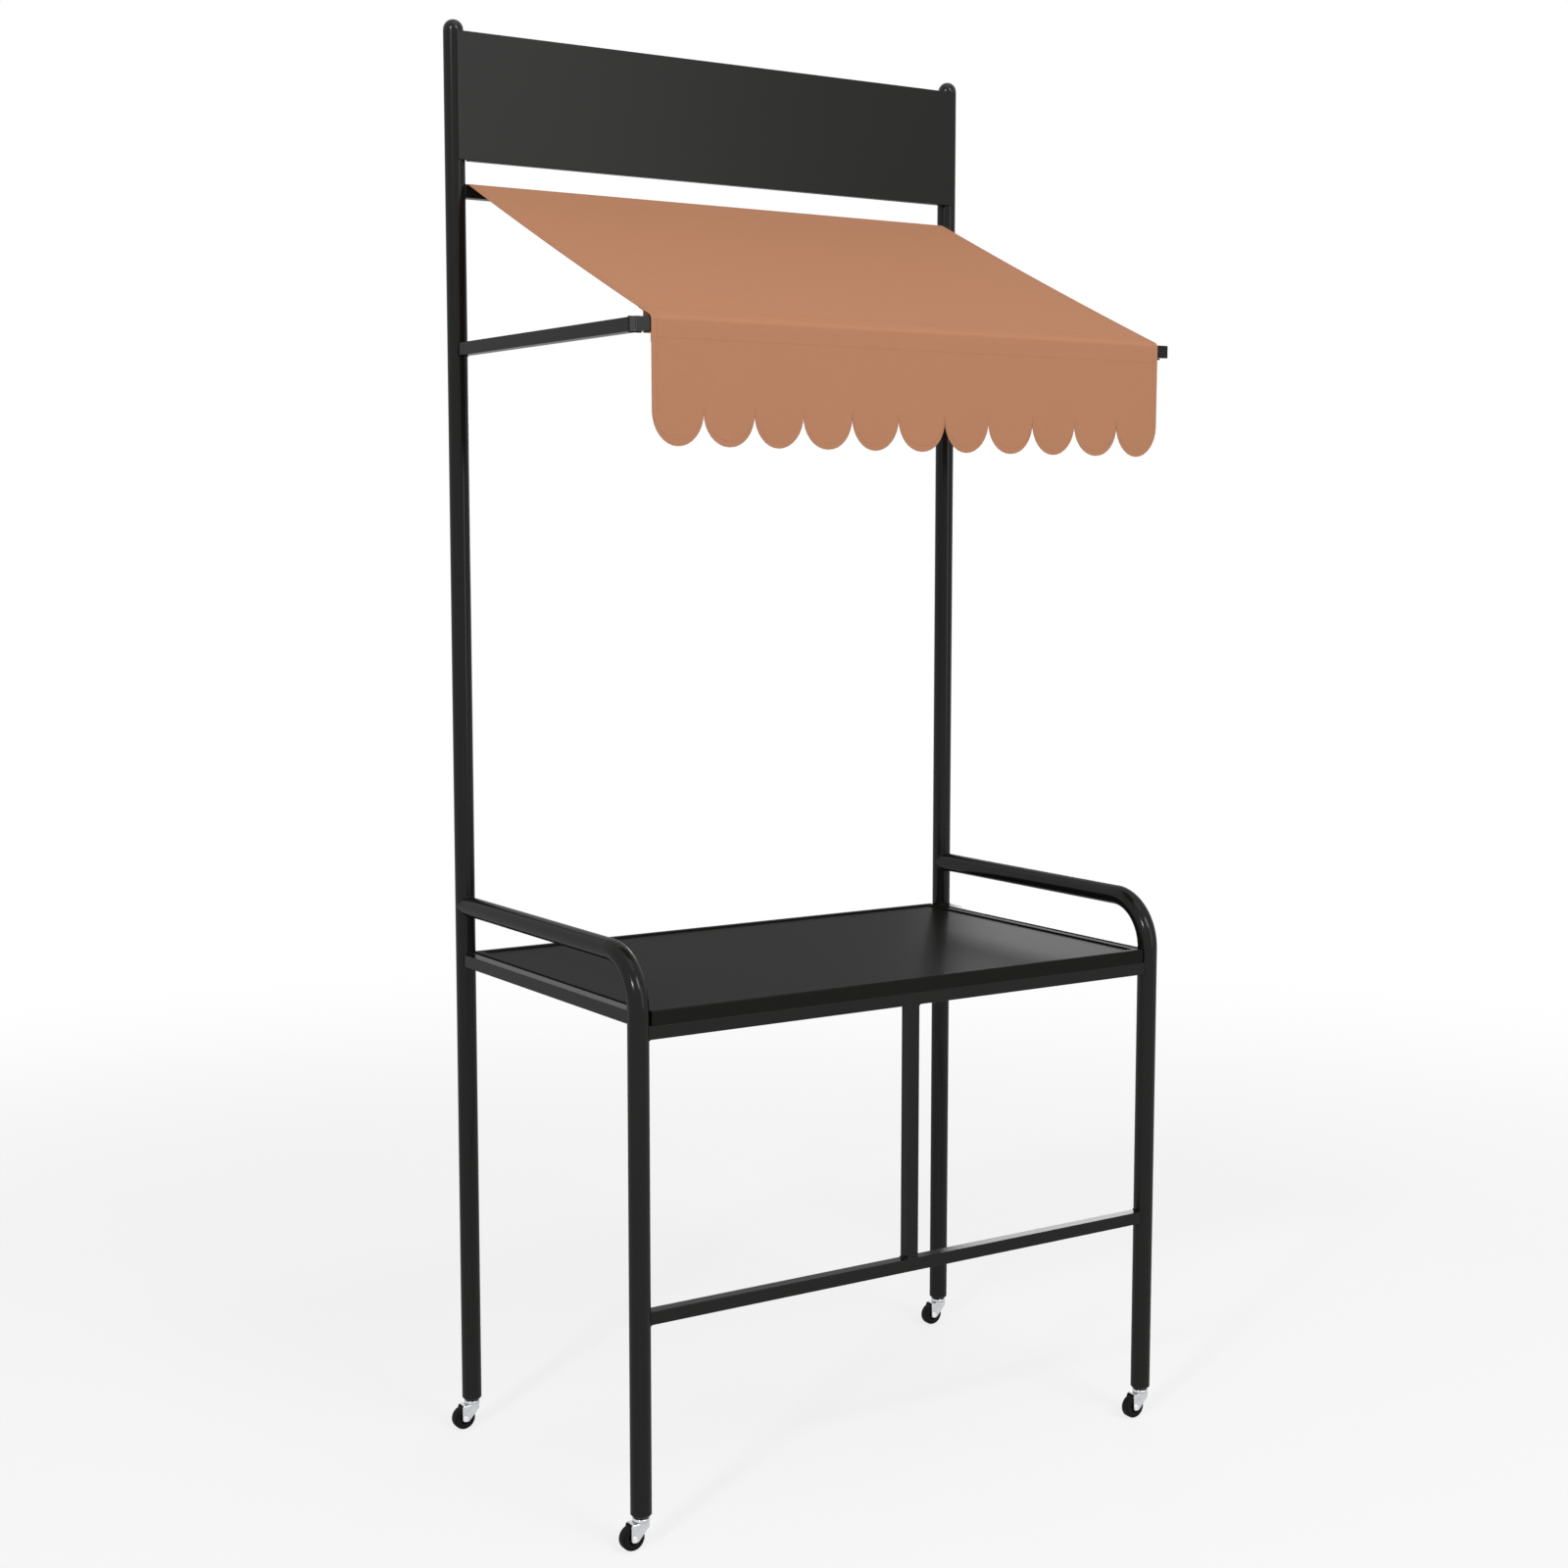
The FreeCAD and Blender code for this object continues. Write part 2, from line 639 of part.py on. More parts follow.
parts = {
    "front_table_rail": cross_bar(-leg_y, cross_bar_z, leg_cope),
    "rear_table_rail": cross_bar(rear_bar_y, rear_bar_z, post_cope),
    "lower_stretcher": cross_bar(-leg_y, stretcher_z, leg_cope),
    "centre_strut": centre_strut(),
    "tabletop": tabletop(),
    "header_panel": header_panel(),
    "awning_top_rail": cross_bar(leg_y, awning_rail_z, post_cope),
    "awning_front_frame": awning_front_frame(),
    "awning_canopy": awning_canopy(),
    "awning_valance": awning_valance(),
}
for name, side in (("left", -1), ("right", 1)):
    parts[name + "_rear_post"] = rear_post(side)
    parts[name + "_front_leg"] = front_leg(side)
    parts[name + "_table_rail"] = side_table_rail(side)
    parts[name + "_post_cap"] = post_cap(side)
    parts[name + "_awning_arm"] = awning_arm(side)
    parts[name + "_awning_plug"] = awning_plug(side)
for piece, make in caster_pieces.items():
    shape = make()
    for place, where in caster_places.items():
        parts[place + "_" + piece] = shape.translated(where)

os.makedirs("parts", exist_ok=True)
for name, shape in parts.items():
    shape.exportStep("parts/" + name + ".step")
    box = shape.BoundBox
    print(name, len(shape.Solids), "solids, valid", shape.isValid(),
          "x %.1f to %.1f, y %.1f to %.1f, z %.1f to %.1f" % (
              box.XMin, box.XMax, box.YMin, box.YMax, box.ZMin, box.ZMax))
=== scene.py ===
import math
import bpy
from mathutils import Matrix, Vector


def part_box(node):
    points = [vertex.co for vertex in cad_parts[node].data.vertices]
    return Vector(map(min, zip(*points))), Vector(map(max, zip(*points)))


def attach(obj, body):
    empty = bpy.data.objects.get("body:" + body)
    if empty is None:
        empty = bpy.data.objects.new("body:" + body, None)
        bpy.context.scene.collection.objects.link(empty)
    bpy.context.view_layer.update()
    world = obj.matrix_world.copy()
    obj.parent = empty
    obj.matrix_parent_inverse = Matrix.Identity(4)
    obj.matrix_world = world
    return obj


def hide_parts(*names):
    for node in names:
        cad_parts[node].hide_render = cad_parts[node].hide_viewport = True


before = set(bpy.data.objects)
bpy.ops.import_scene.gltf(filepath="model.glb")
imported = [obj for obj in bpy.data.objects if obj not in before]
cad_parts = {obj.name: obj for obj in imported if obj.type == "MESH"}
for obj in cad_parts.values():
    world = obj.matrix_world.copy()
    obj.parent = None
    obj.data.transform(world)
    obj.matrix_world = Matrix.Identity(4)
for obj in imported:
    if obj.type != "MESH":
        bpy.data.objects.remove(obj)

from types import SimpleNamespace

import bmesh
import bpy
from bpy.props import FloatProperty, FloatVectorProperty, IntProperty, PointerProperty, StringProperty
from mathutils import Euler, Matrix, Vector

bl_info = {
    "name": "Market stall finish",
    "version": (1, 0, 0),
    "blender": (4, 5, 0),
    "location": "View3D > Sidebar > Market stall",
    "description": "Gives the frame of a market stall its cloth awning, welds, finishes and stage",
    "category": "Object",
}

MM = 0.001
RIGHT, BACK, UP = Vector((1, 0, 0)), Vector((0, 1, 0)), Vector((0, 0, 1))
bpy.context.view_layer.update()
FRAME_BODY = "frame"
CORNERS = ("front_left", "front_right", "rear_left", "rear_right")
ROUND_TUBES = ("left_rear_post", "right_rear_post", "left_front_leg", "right_front_leg")
SQUARE_TUBES = ("left_table_rail", "right_table_rail", "front_table_rail", "rear_table_rail",
                "lower_stretcher", "centre_strut", "awning_top_rail", "awning_front_frame",
                "left_awning_arm", "right_awning_arm")
CAPS = ("left_post_cap", "right_post_cap", "left_awning_plug", "right_awning_plug")


# Sizes and colours that a user would change

def length(label, description, default):
    return FloatProperty(name=label, description=description, default=default, min=0.0,
                         subtype="DISTANCE", unit="LENGTH")


def hex_colour(label, description, default):
    return StringProperty(name=label, description=description, default=default,
                          maxlen=len("#RRGGBB"))


def light_power(label, description, default):
    return FloatProperty(name=label, description=description, default=default, min=0.0,
                         subtype="POWER", unit="POWER")


def angle(label, description, degrees):
    return FloatProperty(name=label, description=description, default=math.radians(degrees),
                         subtype="ANGLE", unit="ROTATION")


class StallAwning(bpy.types.PropertyGroup):
    cloth: length("Cloth thickness", "Thickness of the woven cloth", 1.0 * MM)
    pocket_play: length("Pocket play", "Room between a bar and the pocket round it", 0.3 * MM)
    rear_pocket_inset: length("Rear pocket inset", "From the canopy's edge to its rear pocket", 60.0 * MM)
    pocket_seam: length("Pocket seam", "Width of the double cloth where a pocket is sewn", 14.0 * MM)
    fold: length("Fold radius", "Radius at which the cloth turns over the front bar", 8.0 * MM)
    fold_relief: length("Fold relief", "How far the turned cloth stands off the front bar", 0.8 * MM)
    sag: length("Sag", "How far the middle of the canopy hangs below a straight line", 3.0 * MM)
    wave: length("Valance wave", "How far the valance's foot waves in and out", 1.4 * MM)
    scallops: IntProperty(name="Scallops", description="Scallops along the valance", default=11, min=1)
    scallop_depth: length("Scallop depth", "From a cusp down to a scallop's foot", 48.0 * MM)
    hem: length("Hem width", "From the cloth's edge to its row of stitches", 9.0 * MM)
    stitch: length("Stitch length", "Length of one stitch", 3.2 * MM)
    stitch_pitch: length("Stitch pitch", "From one stitch to the next", 4.6 * MM)
    thread: length("Sewing thread", "Thickness of the sewing thread", 0.5 * MM)


class StallWelds(bpy.types.PropertyGroup):
    bead: length("Bead size", "Radius of the weld beads", 1.5 * MM)
    ripple: length("Ripple pitch", "From one ripple of a bead to the next", 2.2 * MM)


class StallColours(bpy.types.PropertyGroup):
    cloth: hex_colour("Cloth", "Terracotta of the awning", "#BA8464")
    coat: hex_colour("Powder coat", "Black of the tubes and sheets", "#181817")
    cap: hex_colour("Caps", "Black of the domed caps and square plugs", "#0C0C0C")
    nylon: hex_colour("Nylon", "Black of the caster inserts and hubs", "#0D0D0E")
    tread: hex_colour("Tread", "Black of the wheels", "#0B0B0A")
    zinc: hex_colour("Zinc", "Bright zinc of the caster forks", "#D4D6D9")
    rivet: hex_colour("Rivets", "Plated steel of the axle rivets", "#F4F4F2")
    floor: hex_colour("Floor", "Floor under the stall", "#F4F4F4")


class StallStage(bpy.types.PropertyGroup):
    camera_place: FloatVectorProperty(
        name="Camera place", description="Where the camera stands", size=3, subtype="TRANSLATION",
        unit="LENGTH", default=(-2.1425, -3.2088, 1.4842))
    camera_yaw: angle("Camera yaw", "Turn to the right of straight back", 33.121)
    camera_pitch: angle("Camera pitch", "Tilt below the horizon", 6.055)
    camera_roll: angle("Camera roll", "Turn about the line of sight", 0.03)
    camera_lens: FloatProperty(name="Lens", description="Focal length", default=54.576,
                               subtype="DISTANCE_CAMERA", unit="CAMERA")
    key_power: light_power("Key light", "Power of the high front light", 118.0)
    strip_power: light_power("Strip light", "Power of the tall front light", 42.0)
    glint_power: light_power("Glint light", "Power of the small light at the left", 160.0)
    top_power: light_power("Top light", "Power of the light overhead", 24.0)
    back_power: light_power("Back light", "Power of the low light behind the table", 16.0)
    sky: FloatProperty(name="Room light", description="Strength of the light from all round",
                       default=0.38, min=0.0, max=1.0, subtype="FACTOR")


# Materials

def linear(hex_value):
    """The linear colour of an sRGB hex value."""
    parts = [int(hex_value[i:i + 2], 16) / 255 for i in (1, 3, 5)]
    return tuple(((c + 0.055) / 1.055) ** 2.4 if c > 0.04045 else c / 12.92 for c in parts) + (1.0,)


def tinted(colour, share):
    """The same colour, darker for a share under 1 and lighter for one over 1."""
    return tuple(min(c * share, 1.0) for c in colour[:3]) + (1.0,)


def bare_tree(owner):
    """The node tree of a material or a world, emptied."""
    owner.use_nodes = True
    owner.node_tree.nodes.clear()
    return owner.node_tree


def add_node(tree, kind, inputs=None, **settings):
    """Adds a node, sets its properties, and sets each input to a value or links it to a socket."""
    node = tree.nodes.new(kind)
    for name, value in settings.items():
        setattr(node, name, value)
    for key, value in (inputs or {}).items():
        if isinstance(value, bpy.types.NodeSocket):
            tree.links.new(value, node.inputs[key])
        else:
            node.inputs[key].default_value = value
    return node


def new_material(name, shader_inputs, build):
    """A material whose Principled shader takes fixed values and the sockets that build returns."""
    material = bpy.data.materials.new(name)
    tree = bare_tree(material)
    shader = add_node(tree, "ShaderNodeBsdfPrincipled", {**shader_inputs, **build(tree)})
    add_node(tree, "ShaderNodeOutputMaterial", {"Surface": shader.outputs["BSDF"]})
    return material


def powder_coat(name, colour, roughness, gloss):
    """Baked powder coat: matt black pigment under a clear skin of resin.

    The skin gives soft glints on the bends, and its fine orange peel blurs them a little. The
    pigment under it has no gloss of its own, so the flats stay deep black."""
    spray_cloud = 180 * MM
    # The peel is drawn 1.6 mm across, about twice the real one, so that it shows.
    peel_size, peel_depth = 1.6 * MM, 0.008 * MM

    def build(tree):
        place = add_node(tree, "ShaderNodeTexCoord").outputs["Object"]
        cloud = add_node(tree, "ShaderNodeTexNoise", {
            "Vector": place, "Scale": 1 / spray_cloud, "Detail": 3.0}).outputs["Fac"]
        tone = add_node(tree, "ShaderNodeMix", {
            "Factor": cloud, "A": tinted(colour, 0.9), "B": tinted(colour, 1.12)}, data_type="RGBA")
        peel = add_node(tree, "ShaderNodeTexNoise", {
            "Vector": place, "Scale": 1 / peel_size, "Detail": 1.0}).outputs["Fac"]
        relief = add_node(tree, "ShaderNodeBump", {"Height": peel, "Distance": peel_depth})
        return {"Base Color": tone.outputs["Result"], "Normal": relief.outputs["Normal"],
                "Coat Normal": relief.outputs["Normal"]}
    return new_material(name, {"Roughness": 0.6, "Specular IOR Level": 0.0, "Coat Weight": gloss,
                               "Coat Roughness": roughness}, build)


def woven_cloth(name, colour, thickness):
    """Plain-woven canvas: matt and even, with fine crossing threads.

    The threads are drawn 1.6 mm apart, twice as coarse as such canvas, so that they show. Slubs,
    the thicker stretches of yarn, mottle it a little."""
    thread_pitch, slub_length = 1.6 * MM, 14 * MM
    thread_relief = thickness / 10
    # A wave texture has one band for each 2 pi / 20 of its scaled coordinate.
    bands = 2 * math.pi / 20 / thread_pitch

    def build(tree):
        flat = add_node(tree, "ShaderNodeUVMap", uv_map="cloth").outputs["UV"]
        threads = [add_node(tree, "ShaderNodeTexWave", {
            "Vector": flat, "Scale": bands, "Distortion": 0.4, "Detail Scale": 0.6},
            bands_direction=way).outputs["Fac"] for way in ("X", "Y")]
        weave = add_node(tree, "ShaderNodeMath", {0: threads[0], 1: threads[1]},
                         operation="MULTIPLY").outputs["Value"]
        slub = add_node(tree, "ShaderNodeTexNoise", {
            "Vector": flat, "Scale": 1 / slub_length, "Detail": 4.0, "Roughness": 0.6}).outputs["Fac"]
        both = add_node(tree, "ShaderNodeMix", {"Factor": 0.5, "A": weave, "B": slub},
                        data_type="FLOAT").outputs["Result"]
        tone = add_node(tree, "ShaderNodeMix", {
            "Factor": both, "A": tinted(colour, 0.94), "B": tinted(colour, 1.06)}, data_type="RGBA")
        relief = add_node(tree, "ShaderNodeBump", {"Height": weave, "Distance": thread_relief})
        return {"Base Color": tone.outputs["Result"], "Normal": relief.outputs["Normal"]}
    return new_material(name, {"Roughness": 0.85, "Specular IOR Level": 0.1}, build)


def sewing_thread(name, colour):
    """Twisted polyester thread, a shade darker than the cloth, with a dull shine."""
    twist = 0.8 * MM

    def build(tree):
        place = add_node(tree, "ShaderNodeTexCoord").outputs["Object"]
        fibre = add_node(tree, "ShaderNodeTexNoise", {"Vector": place, "Scale": 1 / twist})
        tone = add_node(tree, "ShaderNodeMix", {
            "Factor": fibre.outputs["Fac"], "A": tinted(colour, 0.78), "B": tinted(colour, 0.96)},
            data_type="RGBA")
        return {"Base Color": tone.outputs["Result"]}
    return new_material(name, {"Roughness": 0.6}, build)


def moulded_plastic(name, colour, roughness, shine, grain):
    """Injection-moulded plastic: an even colour with a slight unevenness left by its mould.

    The grain is drawn millimetres wide, far coarser than a mould's own, so that it shows."""
    grain_depth = 0.02 * MM

    def build(tree):
        place = add_node(tree, "ShaderNodeTexCoord").outputs["Object"]
        texture = add_node(tree, "ShaderNodeTexNoise", {
            "Vector": place, "Scale": 1 / grain, "Detail": 2.0}).outputs["Fac"]
        tone = add_node(tree, "ShaderNodeMix", {
            "Factor": texture, "A": tinted(colour, 0.92), "B": tinted(colour, 1.08)}, data_type="RGBA")
        relief = add_node(tree, "ShaderNodeBump", {"Height": texture, "Distance": grain_depth})
        return {"Base Color": tone.outputs["Result"], "Normal": relief.outputs["Normal"]}
    return new_material(name, {"Roughness": roughness, "IOR": 1.49, "Specular IOR Level": shine}, build)


def wheel_tread(name, colour):
    """Hard black wheel compound: matt, with scuffs where it has rolled."""
    scuff_size, scuff_depth = 3 * MM, 0.06 * MM

    def build(tree):
        place = add_node(tree, "ShaderNodeTexCoord").outputs["Object"]
        scuff = add_node(tree, "ShaderNodeTexNoise", {
            "Vector": place, "Scale": 1 / scuff_size, "Detail": 5.0, "Roughness": 0.7}).outputs["Fac"]
        tone = add_node(tree, "ShaderNodeMix", {
            "Factor": scuff, "A": tinted(colour, 0.7), "B": tinted(colour, 1.6)}, data_type="RGBA")
        gloss = add_node(tree, "ShaderNodeMapRange", {"Value": scuff, "To Min": 0.5, "To Max": 0.75})
        relief = add_node(tree, "ShaderNodeBump", {"Height": scuff, "Distance": scuff_depth})
        return {"Base Color": tone.outputs["Result"], "Roughness": gloss.outputs["Result"],
                "Normal": relief.outputs["Normal"]}
    return new_material(name, {"Specular IOR Level": 0.12}, build)


def plated_metal(name, colour, roughness, mottle):
    """Plated steel: a bright metal whose shine varies a little with the plating."""
    smoother, rougher = 0.06, 0.08
    mottle_depth = 0.05 * MM

    def build(tree):
        place = add_node(tree, "ShaderNodeTexCoord").outputs["Object"]
        cloud = add_node(tree, "ShaderNodeTexNoise", {
            "Vector": place, "Scale": 1 / mottle, "Detail": 3.0, "Roughness": 0.6}).outputs["Fac"]
        tone = add_node(tree, "ShaderNodeMix", {
            "Factor": cloud, "A": tinted(colour, 0.8), "B": tinted(colour, 1.1)}, data_type="RGBA")
        gloss = add_node(tree, "ShaderNodeMapRange", {
            "Value": cloud, "To Min": roughness - smoother, "To Max": roughness + rougher})
        relief = add_node(tree, "ShaderNodeBump", {"Height": cloud, "Distance": mottle_depth})
        return {"Base Color": tone.outputs["Result"], "Roughness": gloss.outputs["Result"],
                "Normal": relief.outputs["Normal"]}
    return new_material(name, {"Metallic": 1.0}, build)


def dress(node_names, material):
    """Gives a material to nodes of the frame."""
    for name in node_names:
        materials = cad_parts[name].data.materials
        materials.clear()
        materials.append(material)


# Meshes

def add_piece(name, mesh, material):
    """A new visible piece that moves with the stall's frame and takes its finish from a slot."""
    piece = bpy.data.objects.new(name, mesh)
    bpy.context.scene.collection.objects.link(piece)
    mesh.materials.clear()
    mesh.materials.append(material)
    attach(piece, FRAME_BODY)
    return piece


def skin_of(name, rows, closed=False):
    """A smooth mesh through rows of points. Each row is a ring where closed is true."""
    wide = len(rows[0])
    faces = []
    for i in range(len(rows) - 1):
        for j in range(wide if closed else wide - 1):
            a, b = i * wide + j, i * wide + (j + 1) % wide
            faces.append((a, a + wide, b + wide, b))
    mesh = bpy.data.meshes.new(name)
    mesh.from_pydata([point for row in rows for point in row], [], faces)
    mesh.shade_smooth()
    return mesh


def thicken(piece, thickness):
    """Gives a sheet its thickness, half to each side, and keeps its cut edges crisp."""
    crisp_from = math.radians(50)
    solidify = piece.modifiers.new("Thickness", "SOLIDIFY")
    solidify.thickness = thickness
    solidify.offset = 0
    thin = piece.data
    seen = piece.evaluated_get(bpy.context.evaluated_depsgraph_get())
    piece.data = bpy.data.meshes.new_from_object(seen)
    piece.modifiers.clear()
    bpy.data.meshes.remove(thin)
    piece.data.set_sharp_from_angle(angle=crisp_from)


def middle_of(name):
    """The middle of a piece of the frame."""
    low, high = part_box(name)
    return (low + high) / 2


def circle(steps):
    """The cosine and sine of each of a number of even steps once round."""
    turns = [2 * math.pi * i / steps for i in range(steps)]
    return [(math.cos(turn), math.sin(turn)) for turn in turns]


# Awning: its cloth is laid out as stations seen from the side, each a (y, z) place

def side_view(name):
    """The middle of a piece, seen from the side."""
    middle = middle_of(name)
    return Vector((middle.y, middle.z))


def section(awning):
    """The awning seen from the side: what the run of its cloth is worked out from."""
    low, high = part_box("awning_top_rail")
    reach = (high.z - low.z) / 2 + awning.pocket_play + awning.cloth / 2
    rail, bar = side_view("awning_top_rail"), side_view("awning_front_frame")
    top = rail + Vector((-1, 1)) * reach
    fold = bar + Vector((-1, 1)) * (reach + awning.fold_relief)
    return SimpleNamespace(
        rail=rail, bar=bar,                # the middles of the top rail and the front bar
        reach=reach,                       # from a middle to the cloth on each side of it
        top=top, fold=fold,                # the corners where the slope starts and ends
        fall=(fold - top).normalized(),    # the slope's direction
        corner_r=awning.cloth * 1.8,       # radius at which the cloth turns a pocket's corner
        layer=awning.cloth * 1.1)          # from the middle of one layer to the next


def arc(before, corner, after, radius, steps):
    """Stations on the arc that rounds a corner between two straight runs."""
    back, ahead = (before - corner).normalized(), (after - corner).normalized()
    half_angle = back.angle(ahead) / 2
    centre = corner + (back + ahead).normalized() * (radius / math.sin(half_angle))
    run = radius / math.tan(half_angle)
    start, end = corner + back * run - centre, corner + ahead * run - centre
    return [centre + start.lerp(end, i / steps).normalized() * radius for i in range(steps + 1)]


def rounded(path, radius):
    """Stations along a path with its corners rounded."""
    steps = 4
    stations = [path[0]]
    for before, corner, after in zip(path, path[1:], path[2:]):
        stations += arc(before, corner, after, radius, steps)
    return stations + [path[-1]]


def under_slope(awning, y):
    """Where a second layer of cloth lies under the slope."""
    side = section(awning)
    way = (y - side.top.x) / side.fall.x
    return side.top + side.fall * way + Vector((0, side.layer / side.fall.x))


def seam_places(awning):
    """The middles of the pockets' seams: two on the slope and one on the valance."""
    side = section(awning)
    half = awning.pocket_seam / 2
    behind_bar = side.fold + side.fall * ((side.bar.x + side.reach - side.fold.x) / side.fall.x)
    return (side.top + side.fall * half, behind_bar - side.fall * half,
            Vector((side.fold.x, side.bar.y - side.reach - half)))


def slope_stations(awning, start, end):
    """Stations down the sagging slope, with one more at the middle of each of its two seams."""
    steps = 24
    shares = [i / steps for i in range(1, steps)]
    shares += [(place - start).length / (end - start).length for place in seam_places(awning)[:2]]
    stations = []
    for share in sorted(shares):
        # A parabola, with the whole sag half way down
        sag = awning.sag * 4 * share * (1 - share)
        stations.append(start.lerp(end, share) - Vector((0, sag)))
    return stations


def canopy_stations(awning):
    """From the rear pocket's seam round the rail and down the slope to the fold.

    Also half the cloth's width at each station, and the number of the slope's first one."""
    side = section(awning)
    seam = under_slope(awning, side.top.x)
    rear_top = side.rail + Vector((1, 1)) * side.reach
    # Here the inset pocket is sewn to the wider cloth above it.
    join = rear_top - Vector((0, awning.hem))
    pocket = rounded([seam + side.fall * awning.pocket_seam, seam,
                      side.rail - Vector((1, 1)) * side.reach, side.rail + Vector((1, -1)) * side.reach,
                      join - Vector((0, awning.cloth))], side.corner_r)
    cover = rounded([join, rear_top, side.top, side.fold], side.corner_r)[:-1]
    fold_steps = 10
    front = arc(side.top, side.fold, side.fold - Vector((0, 1)), awning.fold, fold_steps)
    stations = pocket + cover + slope_stations(awning, cover[-1], front[0]) + front
    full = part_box("awning_valance")[1].x
    halves = [full - awning.rear_pocket_inset] * len(pocket)
    halves += [full] * (len(stations) - len(pocket))
    return stations, halves, len(pocket) + len(cover)


def front_pocket_stations(awning):
    """From under the canopy down the back of the bar, under it and down behind the valance."""
    side = section(awning)
    behind_y, foot_z = side.bar.x + side.reach, side.bar.y - side.reach
    seam = under_slope(awning, behind_y)
    front_y = side.fold.x + side.layer
    return rounded([seam - side.fall * awning.pocket_seam, seam, Vector((behind_y, foot_z)),
                    Vector((front_y, foot_z)), Vector((front_y, foot_z - awning.pocket_seam))],
                   side.corner_r)


def cloth_columns(awning):
    """Places across the cloth from -1 to 1, closer together near each cusp, and the foot's drop."""
    steps = 16
    columns = []
    for k in range(awning.scallops):
        for j in range(steps):
            turn = math.pi * j / steps
            across = (2 * k + 1 - math.cos(turn)) / awning.scallops - 1
            columns.append((across, awning.scallop_depth * math.sin(turn)))
    return columns + [(1.0, 0.0)]


def sheet_rows(stations, halves, columns):
    """Rows of points across the cloth, their places on the flat cloth, and its length so far."""
    rows, flat = [], []
    along = 0
    for i, (place, half) in enumerate(zip(stations, halves)):
        along += (place - stations[i - 1]).length if i else 0
        rows.append([Vector((across * half, place.x, place.y)) for across, _ in columns])
        flat.append([(across * half, -along) for across, _ in columns])
    return rows, flat, along


# The waves along the valance's foot: how fast each turns, where it starts and how high it is. One
# is much slower than the other, so the scallops don't all hang alike.
FOOT_WAVES = ((17, 0.6, 1), (7.3, 2, 0.6))


def valance_rows(columns, awning, start, along):
    """From the fold down to the scallops. The foot waves a little in and out."""
    low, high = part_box("awning_valance")
    cusp_z = low.z + awning.scallop_depth
    last_level = cusp_z + awning.hem / 2
    level_steps, scallop_steps = 9, 8
    levels = [start.y + (last_level - start.y) * i / level_steps for i in range(1, level_steps + 1)]
    levels.append(seam_places(awning)[2].y)
    heights = [[z] * len(columns) for z in sorted(levels, reverse=True)]
    for i in range(1, scallop_steps + 1):
        heights.append([last_level + (cusp_z - drop - last_level) * i / scallop_steps
                        for _, drop in columns])
    rows, flat = [], []
    for level in heights:
        row, uv = [], []
        for (across, _), z in zip(columns, level):
            x = across * high.x
            down = (start.y - z) / (start.y - low.z)
            sway = sum(rise * math.sin(across * speed + shift) for speed, shift, rise in FOOT_WAVES)
            row.append(Vector((x, start.x - awning.wave * sway * down ** 2, z)))
            uv.append((x, -(along + start.y - z)))
        rows.append(row)
        flat.append(uv)
    return rows, flat


def sheet_piece(name, rows, flat, awning, material):
    """A piece of cloth through rows of points, and its area."""
    mesh = skin_of(name, rows)
    layer = mesh.uv_layers.new(name="cloth")
    places = [uv for row in flat for uv in row]
    for loop in mesh.loops:
        layer.data[loop.index].uv = places[loop.vertex_index]
    area = sum(face.area for face in mesh.polygons)
    piece = add_piece(name, mesh, material)
    thicken(piece, awning.cloth)
    return piece, area


# Weld beads

# A bead's radius between its ripples and on their crests, as shares of the bead's size
BEAD_DIP, BEAD_CREST = 0.88, 1.12


def round_outline(radius):
    """A circle, as points about its middle."""
    steps = 96
    return [(radius * cosine, radius * sine) for cosine, sine in circle(steps)]


def square_outline(size, corner_r):
    """A square with rounded corners, as points about its middle."""
    steps = 8
    reach = size / 2 - corner_r
    points = []
    for corner, (x, y) in enumerate(((1, 1), (-1, 1), (-1, -1), (1, -1))):
        for i in range(steps + 1):
            turn = math.pi / 2 * (corner + i / steps)
            points.append((x * reach + corner_r * math.cos(turn),
                           y * reach + corner_r * math.sin(turn)))
    return points


def saddle(member, carrier, out, outline, carrier_r, bead):
    """Where a member of an outline meets a round upright: a closed line of points.

    The member's axis passes member and runs in the direction out, away from the carrier's axis.
    A member as wide as its carrier has its bead sink in at the sides, so it stands nowhere proud."""
    widest = carrier_r - bead * BEAD_CREST
    across = out.cross(UP)
    centre = Vector((carrier.x, carrier.y, member.z))
    aside = (member - centre).dot(across)
    line = []
    for a, b in outline:
        over = max(-widest, min(widest, a + aside))
        reach = math.sqrt(carrier_r ** 2 - over ** 2)
        line.append(centre + across * over + UP * b + out * reach)
    return line


def flat_seat(centre, across, along, outline):
    """Where a member of an outline ends on a flat face: a closed line of points."""
    return [centre + across * a + along * b for a, b in outline]


